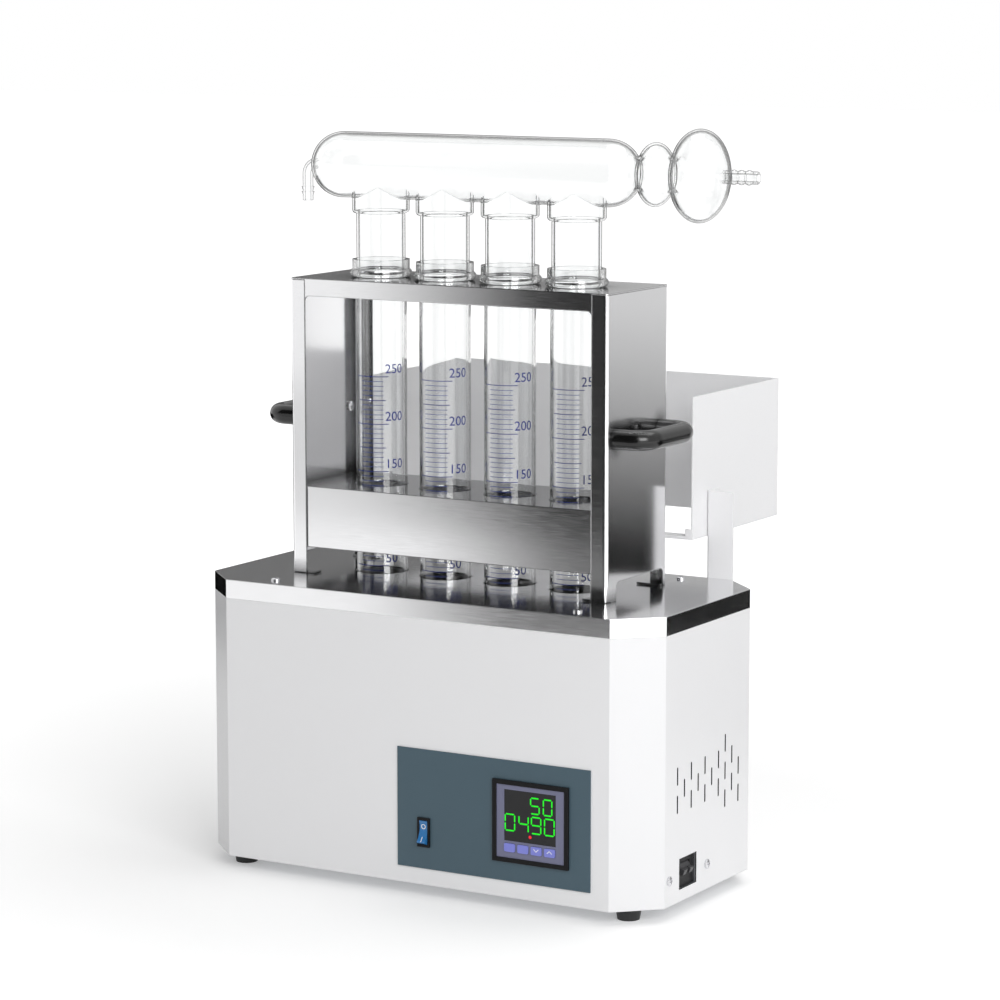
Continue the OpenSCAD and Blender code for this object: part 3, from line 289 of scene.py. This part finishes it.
# The lighter edges of rubber, plastics, keys and toggle are partly wear and partly a painted highlight.
rubber = surface("rubber", (0.018, 0.018, 0.019, 1), 0.55, grain=0.4, grain_depth=0.02, patch=6,
                 patch_share=0.2, edge=0.6, edge_colour=(0.07, 0.07, 0.07, 1), sheen=0.1)
panel_grey = surface("panel_grey", (0.054, 0.096, 0.124, 1), 0.46, grain=0.5, grain_depth=0.008,
                     patch=40, patch_share=0.04, edge=0.3)
black_plastic = surface("black_plastic", (0.008, 0.008, 0.009, 1), 0.36, grain=0.35, grain_depth=0.008,
                        patch=8, patch_share=0.15, edge=0.4, edge_colour=(0.04, 0.04, 0.04, 1), shine=0.15)
film_grey = surface("controller_face", (0.155, 0.160, 0.250, 1), 0.4, grain=0.3, grain_depth=0.004,
                    patch=20, patch_share=0.04)
window_dark = surface("display_window", (0.022, 0.022, 0.023, 1), 0.16, grain=0.5, grain_depth=0.002,
                      patch=10, patch_share=0.1, shine=0.2)
key_blue = surface("key_blue", (0.215, 0.235, 0.680, 1), 0.42, grain=0.3, grain_depth=0.006, patch=4,
                   patch_share=0.06, edge=0.3, edge_colour=(0.3, 0.33, 0.8, 1))
rocker_blue = surface("rocker_blue", (0.024, 0.165, 0.415, 1), 0.25, grain=0.4, grain_depth=0.003,
                      patch=6, patch_share=0.08, edge=0.4, coat=0.3)
toggle_grey = surface("toggle_grey", (0.045, 0.045, 0.048, 1), 0.4, grain=0.35, grain_depth=0.01,
                      patch=5, patch_share=0.15, edge=0.4, edge_colour=(0.14, 0.14, 0.14, 1))
aluminium = surface("aluminium", (0.70, 0.70, 0.72, 1), 0.3, metal=1, grain=0.3, grain_depth=0.006,
                    stretch=(1, 30, 1), patch=15, patch_share=0.06, edge=0.4)
heater_steel = surface("heater_steel", (0.48, 0.46, 0.44, 1), 0.34, metal=1, grain=0.4, grain_depth=0.005,
                       stretch=(1, 12, 12), patch=10, patch_share=0.15)
fibre = surface("ceramic_fibre", (0.80, 0.77, 0.70, 1), 0.95, grain=1.4, grain_depth=0.35,
                stretch=(3, 3, 1), patch=10, patch_share=0.06, sheen=0.3)
relay_dark = surface("relay_plastic", (0.055, 0.060, 0.075, 1), 0.5, grain=0.4, grain_depth=0.012,
                     patch=8, patch_share=0.12, edge=0.5)
terminal_pale = surface("terminal_plastic", (0.66, 0.66, 0.61, 1), 0.5, grain=0.5, grain_depth=0.01,
                        patch=8, patch_share=0.06, edge=0.4)
handle_black = surface("handle_black", (0.005, 0.005, 0.005, 1), 0.2, grain=2.5, grain_depth=0.004,
                       patch=8, patch_share=0.2)

# The low index of refraction keeps what lies behind the glass straight, and the coat gives its gloss. The
# manifold's nozzle and barb are thin, so their painted dark outline starts earlier than that of its duct
# and bulbs.
CLEAR_GLASS = (0.985, 0.990, 0.990, 1)
NOZZLE_REACH = 13.5
BARB_REACH = 30
tube_glass = glass("tube_glass", CLEAR_GLASS, (0.005, 0.007, 0.010, 1), 0.58, 0.84, 1.3)
manifold_low, manifold_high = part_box("exhaust_manifold")
duct_start = manifold_low.x + NOZZLE_REACH * MM
barb_start = manifold_high.x - BARB_REACH * MM
manifold_glass = glass("manifold_glass", CLEAR_GLASS, (0.0, 0.0, 0.0, 1), 0.62, 0.82, 1.03,
                       (duct_start, barb_start))

LOOKS = {
    shell_paint: ["cabinet_shell"],
    white_paint: ["holder_box", "holder_upright_left", "holder_upright_right"],
    steel: ["rack_side_left", "rack_side_right"],
    tray_steel: ["rack_top"],
    shelf_steel: ["rack_shelf"],
    cover_steel: ["top_cover"],
    zinc: ["base_plate", "cover_standoffs", "power_switch_bracket", "block_stand"],
    screw_steel: ["foot_screws", "cover_screws", "power_switch_screws", "handle_screws", "holder_screws"],
    rubber: ["feet"],
    panel_grey: ["front_panel"],
    black_plastic: ["controller_bezel", "controller_case", "heat_switch_frame", "power_switch_body",
                    "cord_gland"],
    film_grey: ["controller_face"],
    window_dark: ["display_window"],
    key_blue: ["key_1", "key_2", "key_3", "key_4"],
    rocker_blue: ["heat_switch_rocker"],
    toggle_grey: ["power_switch_toggle"],
    aluminium: ["heating_block", "relay_heatsink"],
    heater_steel: ["heater_rods", "thermocouple"],
    fibre: ["insulation_jacket"],
    relay_dark: ["solid_state_relay"],
    terminal_pale: ["terminal_strip"],
    handle_black: ["handle_left", "handle_right"],
    tube_glass: ["digestion_tube_1", "digestion_tube_2", "digestion_tube_3", "digestion_tube_4"],
    manifold_glass: ["exhaust_manifold"],
}
for look, names in LOOKS.items():
    for name in names:
        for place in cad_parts[name].material_slots:
            place.material = look


# Mesh helpers

def placed(name, data):
    """New object in the scene, made from a mesh, a curve, a lamp or a camera."""
    made = bpy.data.objects.new(name, data)
    bpy.context.scene.collection.objects.link(made)
    return made


def piece(name, mesh, look, body):
    """Visible piece that moves with one of the bodies."""
    mesh.materials.append(look)
    made = placed(name, mesh)
    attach(made, body)


def mesh_of(name, faces):
    """Mesh of separate faces, each a list of points."""
    work = bmesh.new()
    for points in faces:
        work.faces.new([work.verts.new(point) for point in points])
    mesh = bpy.data.meshes.new(name)
    work.to_mesh(mesh)
    work.free()
    return mesh


# Graduations and figures on the tubes: sizes in mm, arcs in degrees from the tube's front to the right.
# FIGURE_SHARE is a figure's height as a share of its font's size.

GLASS_PROUD = 0.04
MAJOR_W = 0.6
MINOR_W = 0.42
TOP_ML = 250
TOP_LINE_Z = 403.3
ML_STEP = 5
STEP_Z = 3.89
LOWEST_ML = 25
FIFTY_ARC = (-34.6, 47.4)
HALF_ARC = (-26.0, 41.0)
MINOR_ARC = (-18.4, 36.1)
FIGURE_START = 39.4
FIGURE_H = 7.5
FIGURE_UP = 2.8
FIGURE_SHARE = 0.7
FIRST_CUT = 0.5
CUT_STEP = 0.8
ARC_STEPS = 24
TUBE_Y = 1.4
TUBE_R = 21

ink = surface("tube_ink", (0.010, 0.025, 0.240, 1), 0.5, grain=0.3, grain_depth=0.002, patch=4,
              patch_share=0.25)
ink_pale = surface("tube_ink_pale", (0.045, 0.075, 0.340, 1), 0.5, grain=0.3, grain_depth=0.002, patch=4,
                   patch_share=0.25)


def on_tube(axis_x, angle, z):
    """Point just off a tube's glass, angle in degrees from its front towards the right."""
    r = TUBE_R + GLASS_PROUD
    return at(axis_x + r * math.sin(math.radians(angle)), TUBE_Y - r * math.cos(math.radians(angle)), z)


def arc_strip(axis_x, start, end, z, width):
    """Faces of a printed line bent round a tube."""
    faces = []
    step = (end - start) / ARC_STEPS
    for i in range(ARC_STEPS):
        a = start + i * step
        corners = ((a, -1), (a + step, -1), (a + step, 1), (a, 1))
        faces.append([on_tube(axis_x, angle, z + side * width / 2) for angle, side in corners])
    return faces


def line_z(millilitres):
    """Height of a graduation's line in mm."""
    return TOP_LINE_Z - (TOP_ML - millilitres) / ML_STEP * STEP_Z


def figure_mesh(text, axis_x, z):
    """Number in plain figures, cut into narrow strips and bent round a tube."""
    curve = bpy.data.curves.new("figure", "FONT")
    curve.body = text
    curve.size = FIGURE_H / FIGURE_SHARE * MM
    flat = placed("figure", curve)
    bpy.context.view_layer.update()
    mesh = bpy.data.meshes.new_from_object(flat.evaluated_get(bpy.context.evaluated_depsgraph_get()))
    bpy.data.objects.remove(flat)
    bpy.data.curves.remove(curve)
    work = bmesh.new()
    work.from_mesh(mesh)
    reach = max(vert.co.x for vert in work.verts)
    cut = FIRST_CUT * MM
    while cut < reach:
        parts = work.verts[:] + work.edges[:] + work.faces[:]
        bmesh.ops.bisect_plane(work, geom=parts, plane_co=(cut, 0, 0), plane_no=(1, 0, 0))
        cut += CUT_STEP * MM
    for vert in work.verts:
        angle = FIGURE_START + math.degrees(vert.co.x / MM / TUBE_R)
        vert.co = on_tube(axis_x, angle, z + FIGURE_UP + vert.co.y / MM)
    work.to_mesh(mesh)
    work.free()
    return mesh


def join_meshes(name, meshes):
    """One mesh of several, which are used up."""
    work = bmesh.new()
    for mesh in meshes:
        work.from_mesh(mesh)
        bpy.data.meshes.remove(mesh)
    joined = bpy.data.meshes.new(name)
    work.to_mesh(joined)
    work.free()
    return joined


for number in range(1, 5):
    low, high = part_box(f"digestion_tube_{number}")
    axis_x = ((low.x + high.x) / 2 - MIDDLE.x) / MM
    major, minor, figures = [], [], []
    for amount in range(LOWEST_ML, TOP_ML + 1, ML_STEP):
        z = line_z(amount)
        if amount % 50 == 0:
            major += arc_strip(axis_x, *FIFTY_ARC, z, MAJOR_W)
            figures.append(figure_mesh(str(amount), axis_x, z))
        elif amount % 25 == 0:
            major += arc_strip(axis_x, *HALF_ARC, z, MAJOR_W)
        else:
            minor += arc_strip(axis_x, *MINOR_ARC, z, MINOR_W)
    body = f"tube_{number}"
    piece(f"tube_{number}_long_lines", mesh_of("long_lines", major), ink, body)
    piece(f"tube_{number}_short_lines", mesh_of("short_lines", minor), ink_pale, body)
    piece(f"tube_{number}_figures", join_meshes("figures", figures), ink, body)


# Display, lamp, marks on the keys and on the rocker

# Rows are shares of the window's height. Each figure has its left and right end as shares of the width.
SEGMENTS = {"0": "abcdef", "4": "bcfg", "5": "acdfg", "9": "abcdfg"}
SEGMENT_T = 1.15
SEGMENT_GAP = 0.34
PROUD = 0.06
LOWER_ROW = (0.19, 0.535)
UPPER_ROW = (0.573, 0.904)
DIGITS = [("0", 0.006, 0.215, LOWER_ROW), ("4", 0.275, 0.478, LOWER_ROW), ("9", 0.516, 0.722, LOWER_ROW),
          ("0", 0.77, 0.979, LOWER_ROW), ("5", 0.50, 0.69, UPPER_ROW), ("0", 0.746, 0.934, UPPER_ROW)]
LAMP_SHARES = (0.502, 0.123)
LAMP_R = 1.3
LAMP_PROUD = 0.4

segment_green = glowing("segment_green", (0.0, 0.80, 0.004, 1), 1.0)
lamp_red = glowing("lamp_red", (0.9, 0.012, 0.02, 1), 0.9)
mark_white = surface("mark_white", (0.82, 0.83, 0.86, 1), 0.5, grain=0.2, grain_depth=0.003, patch=2,
                     patch_share=0.05)

window_low, window_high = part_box("display_window")
window_w = (window_high.x - window_low.x) / MM
window_h = (window_high.z - window_low.z) / MM


def on_window(x, z):
    """Point just off the display window, mm from its lower left corner."""
    return Vector((window_low.x + x * MM, window_low.y - PROUD * MM, window_low.z + z * MM))


def segment(letter, w, h):
    """Corners of one bar of a figure w wide and h high, in mm."""
    t = SEGMENT_T / 2
    level = {"a": h - t, "g": h / 2, "d": t}
    if letter in level:
        z = level[letter]
        a, b = t + SEGMENT_GAP, w - t - SEGMENT_GAP
        return [(a, z), (a + t, z - t), (b - t, z - t), (b, z), (b - t, z + t), (a + t, z + t)]
    x = t if letter in "ef" else w - t
    a, b = (h / 2, h - t) if letter in "bf" else (t, h / 2)
    a, b = a + SEGMENT_GAP, b - SEGMENT_GAP
    return [(x, a), (x + t, a + t), (x + t, b - t), (x, b), (x - t, b - t), (x - t, a + t)]


faces = []
for text, x0, x1, row in DIGITS:
    w = (x1 - x0) * window_w
    h = (row[1] - row[0]) * window_h
    left, foot = x0 * window_w, row[0] * window_h
    for letter in SEGMENTS[text]:
        faces.append([on_window(left + x, foot + z) for x, z in segment(letter, w, h)])
piece("display_segments", mesh_of("display_segments", faces), segment_green, "cabinet")


def dome(centre, r, height, rings=4, sides=20):
    """Faces of a low dome on the display window."""
    faces = []

    def rim(ring, side):
        share = math.radians(90 * ring / rings)
        turn = math.radians(360 * side / sides)
        reach = r * math.cos(share)
        point = on_window(centre[0] + reach * math.cos(turn), centre[1] + reach * math.sin(turn))
        return point - Vector((0, height * math.sin(share) * MM, 0))

    for ring in range(rings):
        for side in range(sides):
            corners = [rim(ring, side), rim(ring, side + 1), rim(ring + 1, side + 1), rim(ring + 1, side)]
            faces.append(corners[:3] if ring == rings - 1 else corners)
    return faces


lamp_centre = (LAMP_SHARES[0] * window_w, LAMP_SHARES[1] * window_h)
lamp_mesh = mesh_of("output_lamp", dome(lamp_centre, LAMP_R, LAMP_PROUD))
piece("output_lamp", lamp_mesh, lamp_red, "cabinet")


RAY_ROOM = 20


def surface_tree(name):
    """Search tree of a solid's faces, to lay marks on them."""
    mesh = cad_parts[name].data
    points = [vert.co for vert in mesh.vertices]
    return BVHTree.FromPolygons(points, [face.vertices for face in mesh.polygons])


def laid_on(tree, x, z, start_y):
    """Point just off a piece's front, seen straight from the front."""
    hit = tree.ray_cast(Vector((x, start_y, z)), Vector((0, 1, 0)))[0]
    return hit - Vector((0, PROUD * MM, 0))


def band(points, width):
    """Flat quads of a line width wide through the points."""
    quads = []
    for a, b in zip(points, points[1:]):
        run = Vector(b) - Vector(a)
        across = Vector((-run.y, run.x)).normalized() * width / 2
        quads.append([Vector(a) - across, Vector(b) - across, Vector(b) + across, Vector(a) + across])
    return quads


def mark(name, node_name, body, quads):
    """Printed mark laid on a piece; quads are in mm from the middle of its front."""
    low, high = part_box(node_name)
    tree = surface_tree(node_name)
    start = low.y - RAY_ROOM * MM
    middle = (low + high) / 2
    faces = []
    for quad in quads:
        faces.append([laid_on(tree, middle.x + p.x * MM, middle.z + p.y * MM, start) for p in quad])
    piece(name, mesh_of(name, faces), mark_white, body)


CHEVRON_W = 0.6
CHEVRON = [(-2.2, 1.1), (0, -1.1), (2.2, 1.1)]
CHEVRON_UP = 0.5
for number, turn in ((3, 1), (4, -1)):
    quads = band([(x, CHEVRON_UP + turn * z) for x, z in CHEVRON], CHEVRON_W)
    mark(f"key_{number}_chevron", f"key_{number}", f"key_{number}_cap", quads)

RING_R = 1.75
RING_SIDES = 28
ROCKER_MARK_W = 0.65
ROCKER_RING_UP = 4.7
ROCKER_BAR_DOWN = 5.1
ROCKER_BAR_H = 3.6
BAR_STEPS = 6
turns = [math.tau * i / RING_SIDES for i in range(RING_SIDES + 1)]
ring = [(RING_R * math.cos(turn), ROCKER_RING_UP + RING_R * math.sin(turn)) for turn in turns]
bar = [(0, -ROCKER_BAR_DOWN + ROCKER_BAR_H * (i / BAR_STEPS - 0.5)) for i in range(BAR_STEPS + 1)]
mark("rocker_marks", "heat_switch_rocker", "heat_rocker",
     band(ring, ROCKER_MARK_W) + band(bar, ROCKER_MARK_W))


# Camera, solved from the photo

CAMERA_PLACE = (1.43972, -2.51616, 0.73612)
CAMERA_LOOK = (-0.50007, 0.85309, -0.14888)
LENS = 128.5
SENSOR = 36
FAR_LIMIT = 50


def turn_to(thing, direction):
    """Point a camera or a lamp along a direction."""
    thing.rotation_mode = "QUATERNION"
    thing.rotation_quaternion = Vector(direction).to_track_quat("-Z", "Y")


camera = placed("camera", bpy.data.cameras.new("camera"))
camera.data.sensor_width = SENSOR
camera.data.lens = LENS
camera.data.clip_end = FAR_LIMIT
camera.location = CAMERA_PLACE
turn_to(camera, CAMERA_LOOK)
bpy.context.scene.camera = camera
bpy.context.scene.view_settings.view_transform = "Standard"


# World, floor, lamps, and the grey cards that the steel mirrors: lengths in m

def seen_directly(tree):
    """1 for rays that end in the picture straight, by a mirror or through glass."""
    rays = node(tree, "ShaderNodeLightPath").outputs
    both = maths(tree, "MAXIMUM", rays["Is Camera Ray"], rays["Is Glossy Ray"])
    return maths(tree, "MAXIMUM", both, rays["Is Transmission Ray"])


AMBIENT = 0.48
world = bpy.data.worlds.new("white_studio")
bpy.context.scene.world = world
world.use_nodes = True
tree = world.node_tree
strength = spread(tree, seen_directly(tree), 0, 1, AMBIENT, 1)
background = tree.nodes["Background"]
background.inputs["Color"].default_value = WHITE
tree.links.new(strength, background.inputs["Strength"])

FLOOR_HALF = 14
NEAR_GLOW = 0.25
FAR_GLOW = 0.75
NEAR_R = 0.35
FAR_R = 1.6
FLOOR_PATCH = 400
FLOOR_TONES = ((0.80, 0.80, 0.80, 1), (0.82, 0.82, 0.82, 1))
FLOOR_ROUGH = 0.9
FLOOR_SHINE = 0.1


def rectangle(a, b):
    """Corners of a level or upright rectangle between two opposite corners."""
    if a[2] == b[2]:
        return [a, (b[0], a[1], a[2]), b, (a[0], b[1], a[2])]
    return [a, (b[0], b[1], a[2]), b, (a[0], a[1], b[2])]


# The floor glows a little, more so away from the object, so that it turns into the white background there.
# The glow shows only to the camera, to mirrors and through glass, so it lights nothing.
floor_face = rectangle((-FLOOR_HALF, -FLOOR_HALF, 0), (FLOOR_HALF, FLOOR_HALF, 0))
floor = placed("floor", mesh_of("floor", [floor_face]))
look, tree, shader = new_look("floor_white")
tree.links.new(mix(tree, noise(tree, FLOOR_PATCH), *FLOOR_TONES), shader.inputs["Base Color"])
shader.inputs["Roughness"].default_value = FLOOR_ROUGH
shader.inputs["Specular IOR Level"].default_value = FLOOR_SHINE
shader.inputs["Emission Color"].default_value = WHITE
away = node(tree, "ShaderNodeVectorMath", {0: object_place(tree)}, operation="LENGTH").outputs["Value"]
glow = maths(tree, "MULTIPLY", spread(tree, away, NEAR_R, FAR_R, NEAR_GLOW, FAR_GLOW), seen_directly(tree))
tree.links.new(glow, shader.inputs["Emission Strength"])
floor.data.materials.append(look)


LAMP_AIM = Vector((0, 0, 0.2))
LAMP_SIDE = 1.6


def lamp(name, place, power):
    """Square soft light aimed at the object, with its power in watts."""
    data = bpy.data.lights.new(name, "AREA")
    data.shape = "RECTANGLE"
    data.size = data.size_y = LAMP_SIDE
    data.energy = power
    made = placed(name, data)
    made.location = place
    turn_to(made, LAMP_AIM - Vector(place))
    made.visible_camera = False


lamp("key_lamp", (2.3, -1.9, 1.5), 57)
lamp("top_lamp", (0.6, 0.5, 2.6), 20)


def card(name, corner, opposite, low_tone, high_tone, axis, start, end):
    """Card seen by mirroring surfaces alone, its tone running along one axis from start to end."""
    made = placed(name, mesh_of(name, [rectangle(corner, opposite)]))
    material, tree, _ = new_look(name)
    tone = spread(tree, along(tree, object_place(tree), axis), start, end, low_tone, high_tone)
    emit = node(tree, "ShaderNodeEmission", {"Color": WHITE, "Strength": tone})
    mirrored = maths(tree, "MINIMUM", node(tree, "ShaderNodeLightPath").outputs["Glossy Depth"], 1)
    clear = node(tree, "ShaderNodeBsdfTransparent")
    shown = node(tree, "ShaderNodeMixShader", {0: mirrored, 1: clear.outputs[0], 2: emit.outputs[0]})
    tree.links.new(shown.outputs[0], tree.nodes["Material Output"].inputs["Surface"])
    made.data.materials.append(material)
    made.visible_camera = False
    made.visible_diffuse = False
    made.visible_volume_scatter = False
    made.visible_shadow = False


# The front cards are mirrored by the fronts of rack and cover: light on the left, dark on the right and
# above. The right ones are mirrored by faces that look right, the left one by the left chamfer, and the
# back one by faces that look up.
X, Z = 0, 2
card("card_front", (-1.6, -1.0, 0.27), (0.6, -1.0, 0.6), 1.08, 0.03, X, -0.69, -0.46)
card("card_front_mid", (-1.6, -1.0, 0.12), (0.6, -1.0, 0.27), 0.82, 0.03, X, -0.69, -0.44)
card("card_front_high", (-1.6, -1.0, 0.6), (0.6, -1.0, 2.2), 0.02, 0.02, X, -1, 0)
card("card_floor_right", (0.35, 0.32, 0.002), (1.3, 0.89, 0.002), 0.02, 0.02, X, -1, 0)
card("card_front_low", (-1.6, -1.0, 0.001), (0.6, -1.0, 0.12), 1.15, 0.18, X, -0.60, -0.42)
card("card_right", (0.5, 0.9, 0.001), (1.8, 0.9, 1.2), 0.005, 0.75, Z, 0.10, 0.37)
card("card_left", (-1.0, -0.1, 0.001), (-1.0, 1.2, 0.3), 0.0, 0.01, Z, 0.0, 0.3)
card("card_back", (-2.4, 1.5, 0.30), (0.2, 1.5, 1.0), 0.17, 0.48, X, -1.0, -0.74)
